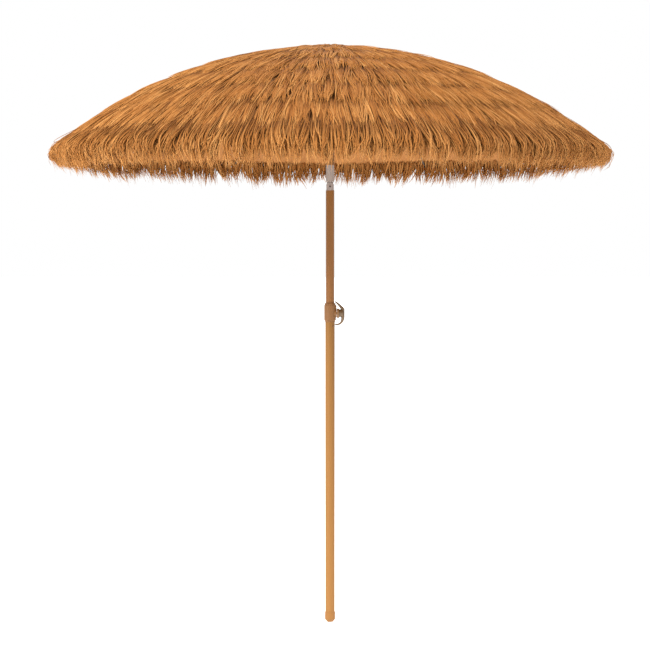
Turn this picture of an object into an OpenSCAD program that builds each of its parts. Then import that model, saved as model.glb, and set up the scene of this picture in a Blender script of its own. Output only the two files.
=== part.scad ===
// Beach umbrella with a layered thatch canopy: two telescoping pole sections, a screw clamp collar,
// a tilt joint with a push button, a crown and runner, eight ribs with struts, and eight canopy gores.
// The origin is the centre of the foot, +Z is up, and the clamp knob points along +X.

/* [Canopy] */
// Canopy diameter at the fringe
canopy_d = 2000; // [1900:20:2100]
// Radius of the dome's outer surface
dome_r = 1500; // [1450:10:1600]
// Height of the dome's top above the foot
apex_z = 2055; // [2045:5:2065]
// Depth between the thatch's outer surface and the fabric below it
thatch_t = 24; // [22:1:28]
// Height of the fringe that hangs at the rim
fringe_h = 42; // [30:2:60]

/* [Poles] */
// Outer diameter of the lower pole
lower_d = 34; // [33:1:36]
// Outer diameter of the upper pole and the mast
upper_d = 30; // [29:0.5:30]
// Wall thickness of the tubes
wall = 1.2; // [1:0.1:1.4]
// Height of the clamp collar's bottom edge
collar_z = 1075; // [1055:5:1090]
// Height of the tilt pivot
tilt_z = 1551; // [1540:1:1560]

/* [Frame] */
// Diameter of a rib rod
rib_d = 5; // [4:0.5:5]
// Diameter of a strut rod
strut_d = 4; // [3.5:0.5:4.5]
// Distance along a rib from its crown pivot to its strut pivot
link = 402.2; // [400:0.2:405]

/* [Hidden] */
ribs = 8;
$fn = 96;

run = 0.05;                       // radial clearance of a running fit
gap = 0.3;                        // clearance between parts that only pass each other
lower_r = lower_d / 2;
upper_r = upper_d / 2;
lower_in = lower_r - wall;
upper_in = upper_r - wall;

foot_h = 36;                      // foot cap
foot_r = lower_r + 1.7;
foot_tip_r = 10;
foot_floor = 10;
foot_chamfer = 9;

collar_h = 61.5;                  // clamp collar
collar_r = 21;
collar_seat = 16;                 // how deep the lower pole sits in the collar
lower_top = collar_z + collar_seat;
knob_z = collar_z + 25.5;         // axis of the clamp screw
boss_r = 15;
boss_x = 23.6;
nut_r = 6.5;
nut_x = upper_r + 1.5;
screw_r = 4;
pad_x = upper_r + run;
pad_t = 1.35;
flange_x = boss_x + 0.6;
flange_t = 8;
flange_r = 17;
neck_x = flange_x + flange_t;
grip_x = 45.5;                    // centre line of the knob's grip bar
grip_r = 6.4;
grip_half = 13;
arm_r = 2.6;
arm_x = lower_r + 0.7 + arm_r;    // the arms' ends stay just clear of the lower pole
arm_z = 40.4;

rivet_z = collar_z - 20;
rivet_turn = -54;
rivet_r = 3;
bush_h = 60;
raise = 120;                      // how far the upper pole can be raised from here
bush_top = rivet_z - rivet_r - raise - 1;
upper_bottom = bush_top - bush_h;

fork_z = tilt_z - 14;             // tilt joint
joint_r = upper_r - 0.3;
tongue_r = 11;
tongue_t = 12;
pin_r = 3.5;
knuckle_z = tilt_z + 16;
knuckle_top = tilt_z + 76;
plug = 30;
button_z = tilt_z + 40;
button_r = 4;
button_in = 5;
spring_in = 2;

pivot_r = 24;                     // circle on which the ribs' and the struts' inner ends turn
crown_z = apex_z - 30.2;
eye_r = 4;
eye_hole = 1.5 + run;
link_pin_r = 1.5;
slot_w = 5.4;
eye_t = slot_w - 0.8;
hub_r = 32;
hub_low = 12;
hub_high = 13;
hub_core = 19.5;
cap_plug = 10;                    // the crown cap's stem in the hub
cap_stem_r = 5;
mast_top = crown_z - hub_low;

dome_z = apex_z - dome_r;         // centre of the dome's sphere
rib_R = dome_r - thatch_t - rib_d / 2 - 3.5;
fabric_R = dome_r - thatch_t - 1;
skin = 0.9;
panel_in = 40;
rim_r = canopy_d / 2;
rib_end = rim_r - 25;
tip_r = fabric_R - rib_R;
fringe_z = sqrt(pow(fabric_R, 2) - pow(rim_r, 2)) + 6;   // above the dome's centre
fringe_t = 4;

link_r = 420;                     // radius of a strut's upper pivot
link_drop = sqrt(pow(link, 2) - pow(link_r - pivot_r, 2));
link_z = crown_z - link_drop;
runner_z = crown_z - 2 * link_drop;
link_lean = atan(link_drop / (link_r - pivot_r));
rib_link_z = dome_z + sqrt(pow(rib_R, 2) - pow(link_r, 2));

runner_bore = upper_r + 0.5;
runner_sleeve = 19;
runner_flange = 31;
runner_low = 41;
runner_high = 16;
groove_r = 1.4 + gap;
catch_z = runner_z - runner_low - 0.5;
catch_w = 3.8;
catch_h = 14;

function rib_turn(i) = (i - 0.5) * 360 / ribs;
function ball_angle(r, R) = asin(r / R);

module tube(r, r_in, z0, z1) {
    translate([0, 0, z0]) difference() {
        cylinder(r = r, h = z1 - z0);
        translate([0, 0, -1]) cylinder(r = r_in, h = z1 - z0 + 2);
    }
}

// A cylinder along X from x0 to x1 at height z
module x_rod(r, x0, x1, z) {
    translate([x0, 0, z]) rotate([0, 90, 0]) cylinder(r = r, h = x1 - x0);
}

// A cylinder along Y, centred on y = 0, at (x, z)
module y_rod(r, length, x, z) {
    translate([x, 0, z]) rotate([90, 0, 0]) cylinder(r = r, h = length, center = true);
}

// A cylinder along Y from y0 to y1 at height z
module y_span(r, y0, y1, z) {
    translate([0, y1, z]) rotate([90, 0, 0]) cylinder(r = r, h = y1 - y0);
}

module lower_pole() {
    color("burlywood") difference() {
        tube(lower_r, lower_in, foot_floor, lower_top);
        rotate([0, 0, rivet_turn]) x_rod(rivet_r - 1, 0, lower_r + 5, rivet_z);
    }
}

module foot_cap() {
    color("burlywood") difference() {
        rotate_extrude() polygon([[0, 0], [foot_tip_r, 0], [foot_r, foot_chamfer],
                                  [foot_r, foot_h - 1], [foot_r - 0.8, foot_h], [0, foot_h]]);
        translate([0, 0, foot_floor]) cylinder(r = lower_r, h = foot_h);
    }
}

// The collar grips the lower pole's top, guides the upper pole and carries the screw boss
module clamp_collar() {
    top = collar_z + collar_h;
    color("peru") difference() {
        union() {
            rotate_extrude() polygon([
                [0, collar_z - 6], [lower_r + 1.2, collar_z - 6], [lower_r + 1.2, collar_z - 1],
                [collar_r - 1, collar_z], [collar_r, collar_z + 1.5], [collar_r, top - 7.5],
                [collar_r - 0.8, top - 6.5], [collar_r - 1.8, top - 6.5], [collar_r - 1.8, top - 4.5],
                [collar_r - 0.8, top - 4], [collar_r - 0.8, top - 1.5], [collar_r - 2.2, top], [0, top]]);
            x_rod(boss_r, 10, boss_x, knob_z);
            translate([10, -boss_r * 0.6, knob_z]) cube([boss_x - 10.6, boss_r * 1.2, 29]);
        }
        translate([0, 0, collar_z - 7]) cylinder(r = lower_r, h = lower_top - collar_z + 7);
        translate([0, 0, lower_top - 1]) cylinder(r = upper_r + run, h = collar_h);
        x_rod(nut_r, nut_x, boss_x + 1, knob_z);
        x_rod(screw_r + run, 10, nut_x + 1, knob_z);
    }
}

module collar_nut() {
    color("goldenrod") difference() {
        x_rod(nut_r, nut_x, boss_x - 0.4, knob_z);
        x_rod(screw_r + run, nut_x - 1, boss_x, knob_z);
    }
}

// A rivet whose tail stands inside the lower pole and stops the guide bush
module stop_rivet() {
    color("saddlebrown") rotate([0, 0, rivet_turn]) {
        x_rod(rivet_r - 1, upper_r + gap, lower_r + 0.5, rivet_z);
        translate([lower_r + 0.15, 0, rivet_z]) rotate([0, 90, 0])
            rotate_extrude() polygon([[0, 0], [rivet_r, 0], [rivet_r - 0.8, 1], [0, 1.4]]);
    }
}

module clamp_pad() {
    color("dimgray") x_rod(screw_r - gap, pad_x, pad_x + pad_t, knob_z);
}

module clamp_screw() {
    color("silver") x_rod(screw_r, pad_x + pad_t + run, neck_x, knob_z);
}

// Knurled flange that the screw's head is set in
module knob_flange() {
    knurls = 24;
    color("tan") difference() {
        x_rod(flange_r, flange_x, neck_x, knob_z);
        x_rod(screw_r, flange_x - 1, neck_x + 1, knob_z);
        for (k = [0:knurls - 1])
            translate([0, 0, knob_z]) rotate([k * 360 / knurls, 0, 0])
                translate([flange_x - 1, 0, flange_r + 0.5]) rotate([0, 90, 0])
                    cylinder(r = 1.3, h = flange_t + 2);
    }
}

// Bow handle: a thick grip bar whose thin arms sweep back towards the pole
module knob_loop() {
    steps = 8;
    bend = function(t, side) [
        grip_x + (arm_x - grip_x) * (side > 0 ? t : 1 - pow(cos(90 * t), 0.8)),
        side * (grip_half + (arm_z - grip_half) * (side > 0 ? pow(t, 0.8) : pow(sin(90 * t), 0.9)))];
    girth = function(t) arm_r + (grip_r - arm_r) * pow(1 - t, 1.5);
    color("#5a4630") union() {
        x_rod(flange_r - 3, neck_x, grip_x, knob_z);
        translate([0, 0, knob_z]) {
            hull() for (s = [-1, 1]) translate([grip_x, 0, s * grip_half]) sphere(r = grip_r, $fn = 32);
            for (s = [-1, 1], k = [0:steps - 1]) hull() for (t = [k / steps, (k + 1) / steps])
                translate([bend(t, s)[0], 0, bend(t, s)[1]]) sphere(r = girth(t), $fn = 24);
        }
    }
}

module upper_pole() {
    color("tan") tube(upper_r, upper_in, upper_bottom, fork_z);
}

module guide_bush() {
    color("dimgray") tube(lower_in - run, upper_r, upper_bottom, bush_top);
}

// Two cheeks on a plug that sits in the upper pole's top end
module tilt_fork() {
    color("lightslategray") difference() {
        union() {
            translate([0, 0, fork_z - plug]) cylinder(r = upper_in, h = plug);
            intersection() {
                translate([0, 0, fork_z]) cylinder(r = joint_r, h = 2 * joint_r);
                union() {
                    y_rod(joint_r, 2 * joint_r, 0, tilt_z);
                    translate([-joint_r, -joint_r, fork_z]) cube([2 * joint_r, 2 * joint_r, tilt_z - fork_z]);
                }
            }
        }
        translate([-upper_d, -tongue_t / 2 - gap, tilt_z - tongue_r - 1])
            cube([2 * upper_d, tongue_t + 2 * gap, upper_d * 2]);
        y_rod(pin_r, 2 * upper_d, 0, tilt_z);
        translate([0, 0, fork_z - plug - 1]) cylinder(r = upper_in - 4, h = plug - 8);
    }
}

module tilt_pin() {
    color("dimgray") y_rod(pin_r, 2 * joint_r - 0.6, 0, tilt_z);
}

// Tongue between the cheeks, a round body with the button's bore, and a plug for the mast
module tilt_knuckle() {
    color("silver") difference() {
        union() {
            y_rod(tongue_r, tongue_t, 0, tilt_z);
            translate([-tongue_r, -tongue_t / 2, tilt_z]) cube([2 * tongue_r, tongue_t, knuckle_z - tilt_z + 1]);
            rotate_extrude() polygon([[0, knuckle_z], [joint_r - 1, knuckle_z], [joint_r, knuckle_z + 1],
                                      [joint_r, knuckle_top], [upper_in, knuckle_top],
                                      [upper_in, knuckle_top + plug], [0, knuckle_top + plug]]);
        }
        y_rod(pin_r + run, upper_d, 0, tilt_z);
        y_span(button_r + run, spring_in, upper_d, button_z);
        translate([0, 0, button_z + button_r + 5]) cylinder(r = upper_in - 4, h = 2 * plug + 20);
    }
}

module tilt_button() {
    color("dimgray") difference() {
        intersection() {
            y_span(button_r, button_in, upper_d, button_z);
            translate([0, 0, button_z - upper_r]) cylinder(r = upper_r + 0.1, h = upper_d);
        }
        y_span(button_r - 2, upper_r - 0.6, upper_r + 1, button_z);
    }
}

// Return spring behind the button, a stack of rings
module tilt_spring() {
    coils = 3;
    wire = (button_in - spring_in - 0.1) / coils / 2;
    color("silver") for (k = [0:coils - 1])
        translate([0, spring_in + 0.05 + (2 * k + 1) * wire, button_z]) rotate([90, 0, 0])
            rotate_extrude() translate([button_r - 1.2, 0]) circle(r = wire, $fn = 24);
}

module mast_tube() {
    color("tan") difference() {
        tube(upper_r, upper_in, knuckle_top, mast_top);
        translate([-catch_w / 2 - gap, 0, catch_z - catch_h - gap])
            cube([catch_w + 2 * gap, upper_d, catch_h + 2 * gap]);
    }
}

// A flanged hub with a vertical slot for every rib
module crown_hub() {
    color("dimgray") difference() {
        union() {
            translate([0, 0, mast_top - 40]) cylinder(r = upper_in, h = 41);
            rotate_extrude() polygon([[0, mast_top], [hub_r - 2, mast_top], [hub_r, mast_top + 2],
                                      [hub_r, crown_z + hub_high], [0, crown_z + hub_high]]);
        }
        for (i = [1:ribs]) rotate([0, 0, rib_turn(i)]) {
            translate([hub_core, -slot_w / 2, mast_top - 1]) cube([hub_r, slot_w, hub_low + hub_high + 2]);
            y_rod(link_pin_r, 12, pivot_r, crown_z);
        }
        translate([0, 0, mast_top - 41]) cylinder(r = upper_in - 3, h = 45);
        translate([0, 0, crown_z + hub_high - cap_plug]) cylinder(r = cap_stem_r + run, h = cap_plug + 1);
    }
}

module crown_pins() {
    color("silver") for (i = [1:ribs]) rotate([0, 0, rib_turn(i)])
        y_rod(link_pin_r, 12, pivot_r, crown_z);
}

module crown_cap() {
    base = crown_z + hub_high;
    color("peru") union() {
        translate([0, 0, base]) rotate_extrude() polygon([[0, 0], [hub_r, 0], [hub_r, 2], [hub_r - 4, 5], [0, 6]]);
        translate([0, 0, base - cap_plug]) cylinder(r = cap_stem_r, h = cap_plug + 1);
    }
}

// Centre of the thatch, over the crown
module thatch_crown() {
    color("peru") rotate_extrude() intersection() {
        translate([0, dome_z]) circle(r = dome_r, $fn = 720);
        translate([0, crown_z + hub_high + 6.2]) square([panel_in - 1, 40]);
    }
}

// Sprung wedge under the open runner: the flat top holds it up, and the sloping face lets it climb past
module runner_catch() {
    color("silver") translate([-catch_w / 2, 0, catch_z]) rotate([90, 0, 90]) linear_extrude(height = catch_w)
        polygon([[upper_in - 3.5, 0], [runner_sleeve - 1, 0], [runner_sleeve - 1, -2],
                 [upper_r - 0.2, -catch_h], [upper_in - 3.5, -catch_h]]);
}

// Sleeve with a slotted flange: the struts' T-ended pins hang in its open vertical grooves
module runner() {
    color("dimgray") difference() {
        rotate_extrude() polygon([
            [0, runner_z - runner_low], [runner_sleeve, runner_z - runner_low],
            [runner_sleeve, runner_z - 13], [runner_flange - 2, runner_z - 11],
            [runner_flange, runner_z - 9], [runner_flange, runner_z + 10],
            [runner_flange - 2, runner_z + 12], [runner_sleeve + 1, runner_z + 12],
            [runner_sleeve, runner_z + runner_high], [0, runner_z + runner_high]]);
        translate([0, 0, runner_z - runner_low - 1])
            cylinder(r = runner_bore, h = runner_low + runner_high + 2);
        for (i = [1:ribs]) rotate([0, 0, rib_turn(i)]) {
            translate([hub_core, -slot_w / 2, runner_z - runner_low])
                cube([hub_r, slot_w, runner_low + runner_high + 1]);
            translate([pivot_r - groove_r, -5 - gap, runner_z - runner_low])
                cube([2 * groove_r, 10 + 2 * gap, runner_low + runner_high + 1]);
        }
    }
}

// Rib: a rod bent to the dome's curve, with an eye at the crown
module rib(i) {
    from = ball_angle(pivot_r + 1, rib_R);
    to = ball_angle(rib_end, rib_R);
    color("darkkhaki") rotate([0, 0, rib_turn(i)]) difference() {
        union() {
            translate([0, 0, dome_z]) rotate([90, 0, 0]) rotate([0, 0, 90 - to])
                rotate_extrude(angle = to - from) translate([rib_R, 0]) circle(d = rib_d, $fn = 48);
            y_rod(eye_r, eye_t, pivot_r, crown_z);
        }
        y_rod(eye_hole, slot_w * 2, pivot_r, crown_z);
    }
}

// Clip with the strut's pivot pin, and the cap on the rib's outer end
module rib_fittings(i) {
    ear_in = eye_t / 2 + gap;
    ear_t = 1.6;
    lean = ball_angle(link_r, rib_R);
    end = ball_angle(rib_end, rib_R);
    color("dimgray") rotate([0, 0, rib_turn(i)]) {
        difference() {
            union() {
                translate([link_r, 0, rib_link_z]) rotate([0, 90 + lean, 0])
                    cylinder(r = rib_d / 2 + 2, h = 18, center = true);
                for (s = [-1, 1]) translate([0, s * (ear_in + ear_t / 2), 0]) {
                    y_rod(eye_r, ear_t, link_r, link_z);
                    translate([link_r - eye_r, -ear_t / 2, link_z])
                        cube([2 * eye_r, ear_t, rib_link_z - link_z + 1]);
                }
            }
            translate([0, 0, dome_z]) rotate([90, 0, 0]) rotate([0, 0, 88 - lean])
                rotate_extrude(angle = 4) translate([rib_R, 0]) circle(d = rib_d, $fn = 48);
            translate([link_r, 0, link_z]) cube([40, eye_t + 2 * gap, 2 * eye_r + 2.4], center = true);
        }
        y_rod(link_pin_r, 2 * (ear_in + ear_t), link_r, link_z);
        difference() {
            translate([rib_end + 1, 0, dome_z + sqrt(pow(rib_R, 2) - pow(rib_end + 1, 2))])
                rotate([0, 90 + end, 0]) translate([0, 0, -12]) union() {
                    cylinder(r = tip_r - 1, h = 12);
                    translate([0, 0, 12]) sphere(r = tip_r - 1);
                }
            translate([0, 0, dome_z]) rotate([90, 0, 0]) rotate([0, 0, 90 - end])
                rotate_extrude(angle = 2) translate([rib_R, 0]) circle(d = rib_d, $fn = 48);
        }
    }
}

// Strut: a rod with an eye on the rib's pin and a T-ended pin in the runner's groove
module strut(i) {
    color("gray") rotate([0, 0, rib_turn(i)]) difference() {
        union() {
            translate([pivot_r, 0, runner_z]) rotate([0, 90 - link_lean, 0])
                cylinder(d = strut_d, h = link);
            y_rod(eye_r, eye_t - 0.2, link_r, link_z);
            y_rod(eye_r - 1, eye_t - 0.2, pivot_r, runner_z);
            y_rod(1.4, 10, pivot_r, runner_z);
        }
        y_rod(eye_hole, slot_w * 2, link_r, link_z);
    }
}

// Canopy gore: the thatch's outer skin over the fabric, closed at the rim, with the fringe hanging inwards
module canopy(i) {
    wedge = 360 / ribs - 0.1;
    color("peru") rotate([0, 0, rib_turn(i) - wedge / 2]) translate([0, 0, dome_z]) union() {
        rotate_extrude(angle = wedge) intersection() {
            difference() {
                circle(r = dome_r, $fn = 720);
                difference() {
                    circle(r = dome_r - skin, $fn = 720);
                    circle(r = fabric_R + skin, $fn = 720);
                    translate([rim_r - 3, 0]) square(dome_r);
                }
                circle(r = fabric_R, $fn = 720);
            }
            translate([panel_in, 0]) square([rim_r - panel_in, dome_r + 1]);
        }
        rotate_extrude(angle = wedge)
            polygon([[rim_r - 2.5, fringe_z + 3], [rim_r - 0.5, fringe_z + 3], [rim_r - 0.5, fringe_z - 9],
                     [rim_r - fringe_h, fringe_z - fringe_h], [rim_r - fringe_h - fringe_t, fringe_z - fringe_h],
                     [rim_r - fringe_t, fringe_z - 11], [rim_r - 2.5, fringe_z - 8]]);
    }
}

lower_pole();
foot_cap();
clamp_collar();
collar_nut();
stop_rivet();
clamp_pad();
clamp_screw();
knob_flange();
knob_loop();
upper_pole();
guide_bush();
tilt_fork();
tilt_pin();
tilt_knuckle();
tilt_button();
tilt_spring();
mast_tube();
crown_hub();
crown_pins();
crown_cap();
thatch_crown();
runner_catch();
runner();
for (i = [1:ribs]) {
    rib(i);
    rib_fittings(i);
    strut(i);
    canopy(i);
}
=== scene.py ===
import math

import bpy
import numpy as np
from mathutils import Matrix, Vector


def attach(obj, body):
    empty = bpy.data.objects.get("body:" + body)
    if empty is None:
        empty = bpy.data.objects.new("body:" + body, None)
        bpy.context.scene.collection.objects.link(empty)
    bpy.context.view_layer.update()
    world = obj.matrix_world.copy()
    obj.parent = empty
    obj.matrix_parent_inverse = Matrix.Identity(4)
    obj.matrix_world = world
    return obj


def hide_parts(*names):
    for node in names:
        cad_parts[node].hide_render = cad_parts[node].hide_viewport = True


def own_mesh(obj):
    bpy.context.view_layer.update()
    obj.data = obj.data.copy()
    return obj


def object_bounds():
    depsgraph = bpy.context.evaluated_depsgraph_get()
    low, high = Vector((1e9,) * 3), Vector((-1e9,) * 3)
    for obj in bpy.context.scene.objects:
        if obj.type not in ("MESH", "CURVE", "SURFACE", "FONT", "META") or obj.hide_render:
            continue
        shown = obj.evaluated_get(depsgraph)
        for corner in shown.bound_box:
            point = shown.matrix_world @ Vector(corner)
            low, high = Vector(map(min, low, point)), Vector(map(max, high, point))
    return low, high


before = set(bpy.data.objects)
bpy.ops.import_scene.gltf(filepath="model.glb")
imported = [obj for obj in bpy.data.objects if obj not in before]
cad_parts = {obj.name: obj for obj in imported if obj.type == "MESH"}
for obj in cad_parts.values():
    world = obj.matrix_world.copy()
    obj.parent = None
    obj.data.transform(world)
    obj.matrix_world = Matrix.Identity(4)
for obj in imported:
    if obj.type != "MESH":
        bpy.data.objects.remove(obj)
cad_low, cad_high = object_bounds()

# ---------------------------------------------------------------- sizes, from the frame
GORES = 8
STEP = 2 * math.pi / GORES
APEX_Z = cad_high[2]
RIM_R = cad_high[0]
DOME_R = 1.5
DOME_Z = APEX_Z - DOME_R
FABRIC_R = DOME_R - 0.0235
INNER_R = 0.040
FABRIC_END = RIM_R - 0.030
FABRIC_T = 0.001
CAMERA_BACK = 9.0
rng = np.random.default_rng(2331)


def gore_angle(i):
    """Azimuth of gore and rib number i, from 1."""
    return (i - 0.5) * STEP


# ---------------------------------------------------------------- materials
def srgb(r, g, b):
    return [((c / 255 + 0.055) / 1.055) ** 2.4 if c > 10 else c / 255 / 12.92 for c in (r, g, b)] + [1]


class Graph:
    """A node material with one Principled shader."""

    def __init__(self, name, **sockets):
        self.material = bpy.data.materials.new(name)
        self.material.use_nodes = True
        self.tree = self.material.node_tree
        self.shader = self.tree.nodes["Principled BSDF"]
        for socket, value in sockets.items():
            self.shader.inputs[socket.replace("_", " ")].default_value = value

    def node(self, kind, inputs=(), **settings):
        made = self.tree.nodes.new("ShaderNode" + kind)
        for key, value in settings.items():
            setattr(made, key, value)
        for key, value in dict(inputs).items():
            if isinstance(value, bpy.types.NodeSocket):
                self.tree.links.new(value, made.inputs[key])
            else:
                made.inputs[key].default_value = value
        return made

    def ramp(self, factor, *stops):
        made = self.node("ValToRGB", {"Fac": factor})
        elements = made.color_ramp.elements
        while len(elements) < len(stops):
            elements.new(0.5)
        for element, (place, colour) in zip(elements, stops):
            element.position, element.color = place, colour
        return made.outputs["Color"]

    def mix(self, kind, factor, a, b):
        made = self.node("Mix", data_type="RGBA", blend_type=kind)
        for socket, value in ((made.inputs[0], factor), (made.inputs[6], a), (made.inputs[7], b)):
            if isinstance(value, bpy.types.NodeSocket):
                self.tree.links.new(value, socket)
            else:
                socket.default_value = value
        return made.outputs[2]

    def noise(self, vector, scale, detail=3.0, roughness=0.55):
        return self.node("TexNoise", {"Vector": vector, "Scale": scale, "Detail": detail,
                                      "Roughness": roughness}).outputs["Fac"]

    def stretch(self, vector, scale):
        return self.node("Mapping", {"Vector": vector, "Scale": scale}).outputs["Vector"]

    def spread(self, value, low, high):
        return self.node("MapRange", {"Value": value, "To Min": low, "To Max": high}).outputs["Result"]

    def place(self):
        return self.node("TexCoord").outputs["Object"]

    def height(self, value, strength, distance):
        bump = self.node("Bump", {"Height": value, "Strength": strength, "Distance": distance})
        self.link("Normal", bump.outputs["Normal"])

    def link(self, socket, value):
        self.tree.links.new(value, self.shader.inputs[socket])


def thatch_material(name, dark, middle, light):
    """Dry fibre. The strand map holds each strand's own tone across and its length up, from root to tip."""
    g = Graph(name, Roughness=0.62, Specular_IOR_Level=0.12)
    uv = g.node("UVMap", uv_map="OFBake").outputs["UV"]
    tone, along, _ = g.node("SeparateXYZ", {"Vector": uv}).outputs
    streak = g.noise(g.stretch(uv, (90, 2.5, 1)), 1.0, 2.0)
    mixed = g.node("Math", {0: tone, 1: g.spread(streak, -0.24, 0.24)}, operation="ADD").outputs[0]
    colour = g.ramp(mixed, (0.0, dark), (0.45, middle), (1.0, light))
    # Painted shade and highlight along each strand: darker towards the root, where the row above shades it, and
    # lighter towards the tip.
    painted_shade_and_tip_light = g.ramp(along, (0.0, (0.44, 0.39, 0.32, 1)), (0.28, (0.56, 0.50, 0.42, 1)),
                  (0.50, (0.90, 0.88, 0.84, 1)), (0.78, (1.0, 1.0, 1.0, 1)), (1.0, (1.25, 1.31, 1.40, 1)))
    g.link("Base Color", g.mix("MULTIPLY", 1.0, colour, painted_shade_and_tip_light))
    g.link("Roughness", g.spread(streak, 0.5, 0.75))
    return g.material


def fabric_material(name, base, shade):
    """Plain woven backing cloth, seen from below."""
    g = Graph(name, Specular_IOR_Level=0.2)
    place = g.place()
    patches = g.noise(place, 6.0, 4.0)
    threads = g.node("TexWave", {"Vector": place, "Scale": 520.0, "Distortion": 1.2, "Detail": 1.0},
                     bands_direction="X").outputs["Fac"]
    weft = g.node("TexWave", {"Vector": place, "Scale": 520.0, "Distortion": 1.2, "Detail": 1.0},
                  bands_direction="Y").outputs["Fac"]
    weave = g.node("Math", {0: threads, 1: weft}, operation="MULTIPLY").outputs[0]
    tint = g.ramp(patches, (0.3, shade), (0.7, base))
    relief = g.ramp(weave, (0.0, (0.6, 0.6, 0.6, 1)), (1.0, (1, 1, 1, 1)))
    g.link("Base Color", g.mix("MULTIPLY", 0.25, tint, relief))
    g.link("Roughness", g.spread(weave, 0.75, 0.92))
    g.height(weave, 0.25, 0.0003)
    return g.material


def coated_material(name, low, high, z_low, z_high, roughness=0.42, streak=0.10):
    """Baked coating on a tube, with faint drawn streaks; its colour is painted darker up its length, as painted
    shade from the canopy above.
    """
    g = Graph(name, Specular_IOR_Level=0.22)
    place = g.place()
    up = g.node("SeparateXYZ", {"Vector": place}).outputs["Z"]
    painted_shade_height = g.node("MapRange", {"Value": up, "From Min": z_low, "From Max": z_high}).outputs["Result"]
    grain = g.noise(g.stretch(place, (260, 260, 7)), 1.0, 4.0)
    base = g.ramp(painted_shade_height, (0.0, low), (1.0, high))
    wear = g.spread(grain, 1.0 - streak, 1.0 + streak)
    tint = g.node("CombineColor", {"Red": wear, "Green": wear, "Blue": wear}).outputs["Color"]
    g.link("Base Color", g.mix("MULTIPLY", 1.0, base, tint))
    g.link("Roughness", g.spread(g.noise(place, 60.0), roughness - 0.06, roughness + 0.10))
    g.height(grain, 0.12, 0.0002)
    return g.material


def grained_material(name, colour, worn, roughness, metallic=0.0, scale=220.0, bump=0.12, **sockets):
    """Moulded or cast surface with fine grain and paler worn patches."""
    g = Graph(name, Metallic=metallic, **sockets)
    place = g.place()
    grain = g.noise(place, scale, 4.0)
    patches = g.noise(place, scale / 7, 3.0)
    g.link("Base Color", g.ramp(patches, (0.35, colour), (0.72, worn)))
    g.link("Roughness", g.spread(grain, roughness - 0.08, roughness + 0.10))
    g.height(grain, bump, 0.0003)
    return g.material


DARK, MIDDLE, LIGHT = srgb(114, 68, 26), srgb(140, 89, 40), srgb(176, 127, 73)
thatch = thatch_material("thatch_fibre", DARK, MIDDLE, LIGHT)
fabric = fabric_material("canopy_fabric", srgb(158, 106, 58), srgb(138, 90, 46))
hem_cloth = fabric_material("hem_tape", srgb(140, 100, 62), srgb(124, 86, 52))

looks = {
    # The pole pieces are painted darker towards the top and lighter near the floor: painted shade from the canopy.
    "lower_pole": coated_material("pole_lower_coat_painted_shade", srgb(134, 93, 45), srgb(112, 76, 31), 0.0, 1.1),
    "upper_pole": coated_material("pole_upper_coat", srgb(113, 74, 36), srgb(111, 72, 27), 1.15, 1.55),
    "foot_cap": coated_material("foot_cap_coat", srgb(132, 91, 44), srgb(130, 89, 44), 0.0, 0.04),
    "clamp_collar": coated_material("collar_coat", srgb(108, 74, 42), srgb(106, 72, 40), 1.1, 1.18, 0.38),
    "collar_nut": grained_material("brass_insert", srgb(196, 160, 90), srgb(214, 180, 112), 0.35, 1.0),
    "stop_rivet": grained_material("rivet_bronze", srgb(84, 54, 30), srgb(110, 74, 44), 0.4, 0.6),
    "clamp_pad": grained_material("pad_rubber", srgb(30, 30, 30), srgb(44, 44, 44), 0.8),
    "clamp_screw": grained_material("zinc_screw", srgb(120, 110, 96), srgb(150, 140, 124), 0.4, 1.0),
    "knob_flange": grained_material("flange_tan", srgb(100, 70, 36), srgb(116, 82, 46), 0.5),
    "knob_loop": grained_material("knob_bronze", srgb(74, 56, 34), srgb(98, 76, 50), 0.38, 0.15),
    "guide_bush": grained_material("bush_nylon", srgb(70, 70, 70), srgb(90, 90, 90), 0.6),
    "tilt_fork": grained_material("fork_cast", srgb(128, 118, 112), srgb(142, 133, 127), 0.45, 0.45, 300.0),
    "tilt_knuckle": grained_material("knuckle_cast", srgb(132, 122, 115), srgb(146, 137, 130), 0.45, 0.45, 300.0),
    "tilt_pin": grained_material("pin_dark", srgb(60, 54, 50), srgb(86, 78, 72), 0.4, 0.7),
    "tilt_button": grained_material("button_dark", srgb(40, 38, 36), srgb(58, 54, 50), 0.45),
    "tilt_spring": grained_material("spring_steel", srgb(150, 150, 150), srgb(180, 180, 180), 0.3, 1.0),
    "mast_tube": coated_material("mast_coat", srgb(108, 72, 34), srgb(102, 68, 32), 1.6, 2.05),
    "crown_hub": grained_material("hub_nylon", srgb(34, 32, 30), srgb(52, 48, 44), 0.5),
    "crown_pins": grained_material("pin_steel", srgb(160, 160, 160), srgb(186, 186, 186), 0.3, 1.0),
    "crown_cap": grained_material("crown_cap_nylon", srgb(44, 38, 32), srgb(60, 52, 44), 0.5),
    "runner_catch": grained_material("catch_steel", srgb(160, 160, 160), srgb(186, 186, 186), 0.3, 1.0),
    "runner": grained_material("runner_nylon", srgb(36, 34, 32), srgb(56, 52, 48), 0.48),
}
rib_look = grained_material("rib_fibreglass", srgb(58, 54, 48), srgb(78, 72, 64), 0.45)
fitting_look = grained_material("fitting_nylon", srgb(32, 30, 28), srgb(50, 46, 42), 0.5)
strut_look = grained_material("strut_paint", srgb(52, 48, 44), srgb(72, 66, 60), 0.42, 0.3)
for i in range(1, GORES + 1):
    looks[f"rib_{i}"] = rib_look
    looks[f"rib_fittings_{i}"] = fitting_look
    looks[f"strut_{i}"] = strut_look
for name, look in looks.items():
    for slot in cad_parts[name].material_slots:
        slot.material = look


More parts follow.
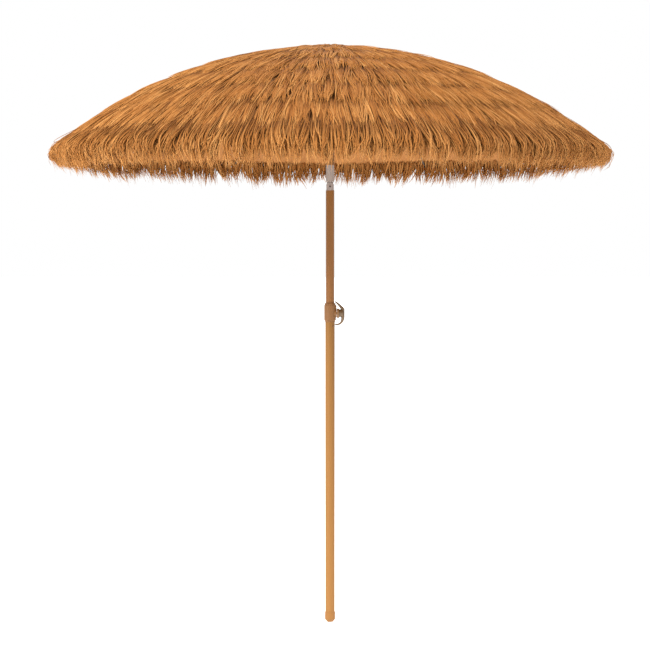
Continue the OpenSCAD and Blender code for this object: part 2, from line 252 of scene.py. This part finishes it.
# ---------------------------------------------------------------- mesh helpers
def add_mesh(name, points, faces, material, uvs=None, smooth=True):
    mesh = bpy.data.meshes.new(name)
    mesh.from_pydata([tuple(p) for p in points], [], faces)
    mesh.materials.append(material)
    if uvs is not None:
        layer = mesh.uv_layers.new(name="OFBake")
        layer.data.foreach_set("uv", np.asarray(uvs, np.float32).ravel())
    mesh.polygons.foreach_set("use_smooth", [smooth] * len(mesh.polygons))
    mesh.update()
    piece = bpy.data.objects.new(name, mesh)
    bpy.context.collection.objects.link(piece)
    return piece


def on_dome(radius, azimuth, shell):
    """Point at that distance from the axis, on the sphere of radius shell about the dome's centre."""
    radius = np.asarray(radius, float)
    z = DOME_Z + np.sqrt(np.maximum(shell ** 2 - radius ** 2, 0))
    return np.stack([radius * np.cos(azimuth), radius * np.sin(azimuth), z], -1)


SIDES = 3


def strand_mesh(name, groups):
    """Closed three-sided strands. Each group has centre lines (strands x rings x 3), widths, tones and the part
    of the length's painted shade and highlight that it shows."""
    points, faces, uvs = [], [], []
    base = 0
    for centre, width, tone, (v_root, v_tip) in groups:
        count, rings = centre.shape[:2]
        along = np.gradient(centre, axis=1)
        along /= np.linalg.norm(along, axis=2, keepdims=True) + 1e-12
        out = centre - np.array([0, 0, DOME_Z])
        out /= np.linalg.norm(out, axis=2, keepdims=True)
        side = np.cross(along, out)
        side /= np.linalg.norm(side, axis=2, keepdims=True) + 1e-12
        up = np.cross(side, along)
        w = width[:, :, None]
        ring = np.stack([centre - side * w / 2, centre + up * w * 0.40, centre + side * w / 2], 2)
        points.append(ring.reshape(-1, 3))
        for s in range(count):
            u = 0.02 + 0.94 * tone[s]
            for r in range(rings - 1):
                v0, v1 = (v_root + (v_tip - v_root) * q / (rings - 1) for q in (r, r + 1))
                for k in range(SIDES):
                    a, b = base + r * SIDES + k, base + r * SIDES + (k + 1) % SIDES
                    faces.append((a, b, b + SIDES, a + SIDES))
                    uvs += [(u, v0), (u + 0.02, v0), (u + 0.02, v1), (u, v1)]
            last = base + (rings - 1) * SIDES
            faces.append((base + 2, base + 1, base))
            faces.append((last, last + 1, last + 2))
            uvs += [(u + across, v) for v in (v_root, v_tip) for across in (0, 0.02, 0.01)]
            base += rings * SIDES
    return add_mesh(name, np.concatenate(points), faces, thatch, uvs)


# ---------------------------------------------------------------- thatch
# Each row: radius of its tips, length of its strands, and its shell at the root and at the tip
ROWS = [
    (0.205, 0.185, 1.4880, 1.4910),
    (0.330, 0.180, 1.4850, 1.4905),
    (0.460, 0.175, 1.4840, 1.4905),
    (0.585, 0.170, 1.4830, 1.4910),
    (0.710, 0.170, 1.4820, 1.4915),
    (0.820, 0.160, 1.4815, 1.4920),
    (0.935, 0.165, 1.4810, 1.4930),
]
ROW_RINGS = 6
PER_METRE = 560
FRINGE_RINGS = 8


def bundles(low, high, count, per_bundle, radius):
    """Roots spread evenly between two azimuths, gathered at the tips into neighbouring bundles."""
    root = low + (np.arange(count) + rng.uniform(-0.5, 0.5, count) + 0.5) * (high - low) / count
    number = max(3, int(count / per_bundle))
    places = low + (np.arange(number) + rng.uniform(-0.35, 0.35, number) + 0.5) * (high - low) / number
    mine = np.clip(((root - low) / (high - low) * number + rng.normal(0, 0.35, count)).astype(int), 0, number - 1)
    lean = rng.normal(0, 0.015, number) / max(radius, 0.12)
    pull = rng.uniform(0.20, 0.70, count)
    tip = root + (places[mine] - root) * pull + lean[mine] + rng.normal(0, 0.005, count) / max(radius, 0.12)
    loose = rng.random(count) < 0.07
    tip[loose] += rng.normal(0, 0.030, loose.sum()) / max(radius, 0.12)
    return root, tip, mine, number


def wiggle(count, rings, size):
    """Sideways waves of the strands, in metres."""
    t = np.linspace(0, 1, rings)[None, :]
    turns = rng.uniform(0.5, 1.3, count)[:, None]
    phase = rng.uniform(0, 2 * math.pi, count)[:, None]
    swing = np.sin(2 * math.pi * turns * t + phase) - np.sin(phase)
    return rng.normal(0, size, count)[:, None] * swing * t ** 0.5


def waves(mine, number, rings):
    """Waves that a whole bundle shares, and each strand's own smaller ones."""
    return wiggle(number, rings, 0.0032)[mine] + wiggle(len(mine), rings, 0.0014)


def ragged(azimuth, row):
    """Slow ins and outs of a row's edge round the canopy, in metres."""
    turns = ((7, 0.006), (17, 0.006), (31, 0.005), (53, 0.004))
    return sum(size * np.sin(k * azimuth + 1.9 * row + 0.7 * k) for k, size in turns)


def tones_of(mine, number, middle, spread):
    return np.clip(middle + rng.normal(0, spread * 0.6, number)[mine] + rng.normal(0, spread, len(mine)), 0, 1)


def strand_widths(count, rings, thick, slim=0.0):
    taper = np.interp(np.linspace(0, 1, rings), [0, 0.3, 0.65, 0.88, 1.0],
                      [0.8, 1.0, 0.85 - 0.25 * slim, 0.5 - 0.2 * slim, 0.10])
    return rng.uniform(0.7, 1.35, count)[:, None] * thick * taper[None, :]


def row_group(tip_r, length, root_shell, tip_shell, low, high, count, thick=0.0050, middle=0.5, shown=(0, 1)):
    """One row's strands between two azimuths, lying on the row below."""
    root, tip, mine, number = bundles(low, high, count, 8.0, tip_r)
    lift = rng.normal(0, 0.0016, number)[mine]
    lift += np.where(rng.random(count) < 0.05, rng.uniform(0.001, 0.006, count), 0)
    reach = rng.normal(0, 0.011, number)[mine] + rng.normal(0, 0.011, count)
    end = tip_r + reach + ragged(tip, 20 * tip_r)
    start = np.maximum(end - length * rng.uniform(0.8, 1.1, count), 0.010)
    t = np.linspace(0, 1, ROW_RINGS)[None, :]
    radius = start[:, None] + (end - start)[:, None] * t
    turn = 1 / np.maximum(radius, 0.05)
    azimuth = root[:, None] + (tip - root)[:, None] * t ** 1.4 + waves(mine, number, ROW_RINGS) * turn
    azimuth = np.clip(azimuth, low - 0.010 * turn, high + 0.010 * turn)
    shell = (root_shell + (tip_shell - root_shell) * t ** 0.8 - 0.0035 * t ** 4
             + (lift + rng.normal(0, 0.0012, count))[:, None] * (0.3 + 0.7 * t))
    centre = on_dome(radius, azimuth, np.minimum(shell, 1.5080))
    return centre, strand_widths(count, ROW_RINGS, thick), tones_of(mine, number, middle, 0.14), shown


def fringe_group(low, high, count, inner, thick, middle, shown):
    """Strands that come over the rim's shoulder and hang, leaning in. Inner ones start at the fabric's edge."""
    root, tip, mine, number = bundles(low, high, count, 8.5, RIM_R)
    t = np.linspace(0, 1, FRINGE_RINGS)[None, :, None]
    drop = rng.normal(0, 0.006, number)[mine] + rng.normal(0, 0.009, count) + 0.5 * ragged(tip, 5)
    lift = 0.014 * np.abs(np.cos(root)) ** 6 + 0.024 * np.abs(np.cos(root)) ** 20
    if inner:
        end = np.stack([0.955 + rng.normal(0, 0.007, count), 1.603 + lift - drop], -1)
        start_r = 0.950 + rng.uniform(0, 0.024, count)
        start = np.stack([start_r, DOME_Z + np.sqrt(1.4755 ** 2 - start_r ** 2)], -1)
        bow = np.stack([rng.uniform(0.010, 0.022, count), rng.uniform(-0.006, 0.006, count)], -1)
        corner = (start + end) / 2 + bow
        weight = 1.0
    else:
        end = np.stack([0.962 + rng.normal(0, 0.011, count), 1.609 + lift - 1.3 * drop], -1)
        start_r = 0.845 + rng.uniform(0, 0.080, count)
        start = np.stack([start_r, DOME_Z + np.sqrt(1.4850 ** 2 - start_r ** 2)], -1)
        corner = np.stack([1.010 + rng.normal(0, 0.005, count), 1.662 + rng.normal(0, 0.010, count)], -1)
        weight = 2.2
    a, b, c = (1 - t) ** 2, 2 * weight * t * (1 - t), t ** 2
    line = (a * start[:, None] + b * corner[:, None] + c * end[:, None]) / (a + b + c)
    radius = np.minimum(line[..., 0], RIM_R + 0.002)
    azimuth = root[:, None] + (tip - root)[:, None] * t[..., 0] ** 1.4 + waves(mine, number, FRINGE_RINGS) / RIM_R
    azimuth = np.clip(azimuth, low - 0.010, high + 0.010)
    centre = np.stack([radius * np.cos(azimuth), radius * np.sin(azimuth), line[..., 1]], -1)
    return centre, strand_widths(count, FRINGE_RINGS, thick, 1.0), tones_of(mine, number, middle, 0.14), shown


# Each part of a gore's thatch: its rows, and how much of its width it keeps when the umbrella is folded
PARTS = {"inner": (range(0, 3), 0.40), "middle": (range(3, 5), 0.26), "rim": (range(5, 7), 0.13)}


def thatch_gore(i, part, rows):
    low, high = gore_angle(i) - STEP / 2, gore_angle(i) + STEP / 2
    groups = []
    for row in rows:
        tip_r, length, root_shell, tip_shell = ROWS[row]
        count = int(PER_METRE * tip_r * STEP)
        groups.append(row_group(tip_r, length, root_shell, tip_shell, low, high, count, 0.0048 if row else 0.0042))
        groups.append(row_group(tip_r - 0.010, length, root_shell - 0.004, tip_shell - 0.0045, low, high,
                                count // 2, 0.0090, 0.36, (0.38, 0.62)))
    if part == "rim":
        groups.append(fringe_group(low, high, int(640 * STEP), False, 0.0048, 0.50, (0.22, 1)))
        # The inner strands, seen from below in the canopy's shade, are painted lighter: a higher tone and less of
        # the painted root shade.
        groups.append(fringe_group(low, high, int(560 * STEP), True, 0.0054, 0.62, (0.55, 1)))
    return strand_mesh(f"thatch_{part}_{i}", groups)


def fabric_gore(i):
    """Backing cloth of one gore: one curved sheet from the crown to the rim."""
    across, down = 20, 44
    half = STEP / 2 - 0.0006
    top, bottom = [], []
    for a in range(down + 1):
        radius = INNER_R + (FABRIC_END - INNER_R) * a / down
        for b in range(across + 1):
            turn = half * (2 * b / across - 1)
            sag = 0.004 * (radius / FABRIC_END) * math.cos(math.pi * turn / (2 * half)) ** 2
            shell = FABRIC_R - 0.004 * (radius / FABRIC_END) + sag
            top.append(on_dome(radius, gore_angle(i) + turn, shell + FABRIC_T / 2))
            bottom.append(on_dome(radius, gore_angle(i) + turn, shell - FABRIC_T / 2))
    n = across + 1
    count = len(top)
    faces = []
    for a in range(down):
        for b in range(across):
            p = a * n + b
            faces.append((p, p + n, p + n + 1, p + 1))
            faces.append((count + p, count + p + 1, count + p + n + 1, count + p + n))
    edge = ([a * n for a in range(down)] + [down * n + b for b in range(across)]
            + [a * n + across for a in range(down, 0, -1)] + list(range(across, 0, -1)))
    for p, q in zip(edge, edge[1:] + edge[:1]):
        faces.append((p, count + p, count + q, q))
    return add_mesh(f"fabric_{i}", top + bottom, faces, fabric)


def fold(piece, i):
    """The piece turns with its rib."""
    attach(piece, f"rib_body_{i}")
    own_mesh(piece)


for i in range(1, GORES + 1):
    straws = []
    for part, (rows, keep) in PARTS.items():
        straws.append(thatch_gore(i, part, rows))
        fold(straws[-1], i)
    cloth = fabric_gore(i)
    fold(cloth, i)
    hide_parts(f"canopy_{i}")


def top_tuft():
    """Short strands sewn round the crown, over the gores' inner ends."""
    return strand_mesh("thatch_tuft", [row_group(0.072, 0.066, 1.4950, 1.4930, -math.pi, math.pi, 320, 0.0038),
                                       row_group(0.040, 0.036, 1.4975, 1.4955, -math.pi, math.pi, 130, 0.0036)])


def top_disc():
    """Domed cloth disc that the tuft is sewn to."""
    rings, around = 6, 48
    points = [(0, 0, DOME_Z + 1.4955)]
    for a in range(1, rings + 1):
        for b in range(around):
            points.append(on_dome(0.038 * a / rings, 2 * math.pi * b / around, 1.4955))
    rim = 1 + (rings - 1) * around
    low = len(points)
    for b in range(around):
        points.append(points[rim + b] - np.array([0, 0, 0.009]))
    points.append((0, 0, DOME_Z + 1.4865))
    faces = [(0, 1 + b, 1 + (b + 1) % around) for b in range(around)]
    for a in range(rings - 1):
        for b in range(around):
            p, q = 1 + a * around + b, 1 + a * around + (b + 1) % around
            faces.append((p, p + around, q + around, q))
    for b in range(around):
        c = (b + 1) % around
        faces.append((rim + b, low + b, low + c, rim + c))
        faces.append((low + c, low + b, len(points) - 1))
    return add_mesh("tuft_base", points, faces, hem_cloth)


tuft, disc = top_tuft(), top_disc()
for piece in (tuft, disc):
    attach(piece, "mast")
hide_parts("thatch_crown")

# ---------------------------------------------------------------- stage, light and camera
def floor():
    mesh = bpy.data.meshes.new("floor")
    size = 400
    mesh.from_pydata([(-size, -size, 0), (size, -size, 0), (size, size, 0), (-size, size, 0)], [], [(0, 1, 2, 3)])
    piece = bpy.data.objects.new("floor", mesh)
    piece.location.z = -0.0005
    bpy.context.collection.objects.link(piece)
    pale = Graph("floor_pale", Roughness=0.9, Specular_IOR_Level=0.1)
    pale.shader.inputs["Base Color"].default_value = (0.9, 0.9, 0.9, 1)
    pale.shader.inputs["Emission Color"].default_value = (1, 1, 1, 1)
    pale.shader.inputs["Emission Strength"].default_value = 0.8
    mesh.materials.append(pale.material)


def area_light(name, place, target, size, power, colour=(1, 1, 1)):
    light = bpy.data.lights.new(name, "AREA")
    light.shape = "DISK"
    light.size = size
    light.energy = power
    light.color = colour
    piece = bpy.data.objects.new(name, light)
    piece.location = place
    piece.rotation_euler = (Vector(target) - Vector(place)).to_track_quat("-Z", "Y").to_euler()
    bpy.context.collection.objects.link(piece)


floor()
area_light("key", (-6.0, -5.0, 5.0), (0, 0, 1.5), 3.0, 1150, (1.0, 0.98, 0.95))
area_light("fill", (5.0, -6.0, 3.0), (0, 0, 1.2), 4.0, 30)
area_light("top", (4.5, -2.5, 6.0), (0.5, 0, 1.8), 4.0, 430)

world = bpy.data.worlds.new("studio")
world.use_nodes = True
world.node_tree.nodes["Background"].inputs["Color"].default_value = (1, 1, 1, 1)
world.node_tree.nodes["Background"].inputs["Strength"].default_value = 1.0
bpy.context.scene.world = world
bpy.context.scene.view_settings.view_transform = "Standard"

EYE = Vector((-0.018, -CAMERA_BACK, 1.2544))
PITCH = math.radians(1.246)
camera_data = bpy.data.cameras.new("camera")
camera_data.lens = 140.07
camera_data.sensor_width = 36
camera_data.clip_end = 1500
camera = bpy.data.objects.new("camera", camera_data)
camera.location = EYE
camera.rotation_euler = (math.pi / 2 - PITCH, 0, 0)
bpy.context.collection.objects.link(camera)
bpy.context.scene.camera = camera
